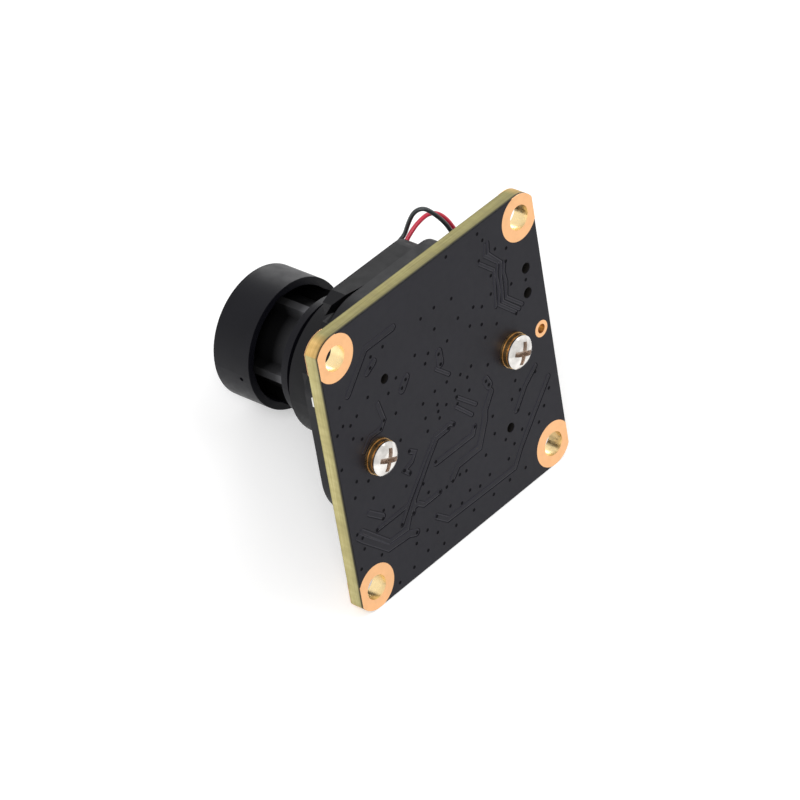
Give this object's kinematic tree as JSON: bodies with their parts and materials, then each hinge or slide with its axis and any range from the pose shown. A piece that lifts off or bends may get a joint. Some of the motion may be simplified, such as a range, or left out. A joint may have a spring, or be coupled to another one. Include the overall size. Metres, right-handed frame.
{
  "type": "camera module",
  "caption": "Square circuit board with corner mounting holes, a screw-in lens in a holder with a switchable infrared-cut filter, a flat-cable socket and two thin leads.",
  "frame": {"origin": "centre of the four-hole pattern on the board's back face", "axes": "+Y out of the board's back, so the lens points to -Y; +Z to the board's top edge; +X to the left as seen from the back"},
  "size_m": [0.031, 0.0263, 0.032],
  "materials": {
    "board_mask": "black solder mask, satin",
    "gold_plate": "gold-plated copper, satin",
    "screw_nickel": "nickel plated",
    "washer_brass": "passivated yellow",
    "holder_black": "fine spark-eroded texture",
    "carriage_black": "smooth",
    "ir_cut_glass": "infrared-cut coating",
    "clear_glass": "clear",
    "yoke_steel": "punched sheet",
    "bobbin_plastic": "smooth",
    "copper_wire": "enamelled copper",
    "tin_plate": "tin plated",
    "magnet_grey": "bonded magnet",
    "shaft_steel": "ground",
    "barrel_black": "moulded, satin",
    "coated_glass": "anti-reflection coating",
    "lens_glass": "polished",
    "lead_black": "smooth insulation",
    "lead_red": "smooth insulation",
    "connector_cream": "smooth",
    "latch_brown": "smooth",
    "sensor_ceramic": "smooth",
    "chip_black": "moulding compound",
    "can_nickel": "plated lid",
    "chip_white": "smooth",
    "chip_tan": "ceramic"
  },
  "bodies": {
    "board": {"circuit_board": "board_mask", "corner_lands": "gold_plate", "io_land": "gold_plate", "holder_screws": "screw_nickel", "flat_washers": "washer_brass", "spring_washers": "washer_brass", "holder_base": "holder_black", "holder_cover": "holder_black", "upper_yoke": "yoke_steel", "lower_yoke": "yoke_steel", "coil_bobbin": "bobbin_plastic", "coil_winding": "copper_wire", "coil_terminals": "tin_plate", "rotor_shaft": "shaft_steel", "black_lead": "lead_black", "red_lead": "lead_red", "lead_header": "connector_cream", "header_pins": "tin_plate", "lead_plug": "connector_cream", "ffc_housing": "connector_cream", "ffc_contacts": "tin_plate", "ffc_hold_downs": "tin_plate", "image_sensor": "sensor_ceramic", "sensor_glass": "clear_glass", "voltage_regulators": "chip_black", "oscillator": "can_nickel", "indicator_chip": "chip_white", "chip_bodies": "chip_tan", "chip_ends": "tin_plate"},
    "lens": {"lens_barrel": "barrel_black", "front_glass": "coated_glass", "front_retainer": "barrel_black", "middle_glass": "lens_glass", "spacer_ring": "barrel_black", "rear_glass": "lens_glass", "rear_retainer": "barrel_black"},
    "latch": {"ffc_latch": "latch_brown"},
    "rotor": {"rotor_magnet": "magnet_grey", "rotor_arm": "carriage_black"},
    "carriage": {"filter_carriage": "carriage_black", "ir_cut_filter": "ir_cut_glass", "clear_filter": "clear_glass"}
  },
  "joints": [
    {"name": "lens_focus", "type": "hinge", "parent": "board", "child": "lens", "pos_m": [0, 0, -0.00015], "axis": [0, -1, 0], "range_deg": [-180, 180]},
    {"name": "latch_slide", "type": "slide", "parent": "board", "child": "latch", "axis": [0, 0, -1], "range_m": [0, 0.0009]},
    {"name": "rotor_turn", "type": "hinge", "parent": "board", "child": "rotor", "pos_m": [0, 0, 0.00955], "axis": [0, -1, 0], "range_deg": [0, 90]},
    {"name": "filter_slide", "type": "slide", "parent": "board", "child": "carriage", "axis": [1, 0, 0], "range_m": [0, 0.0064]}
  ],
  "couplings": [
    {"joint": "rotor_turn", "follows": "filter_slide", "rad_per_m": 245.44}
  ]
}
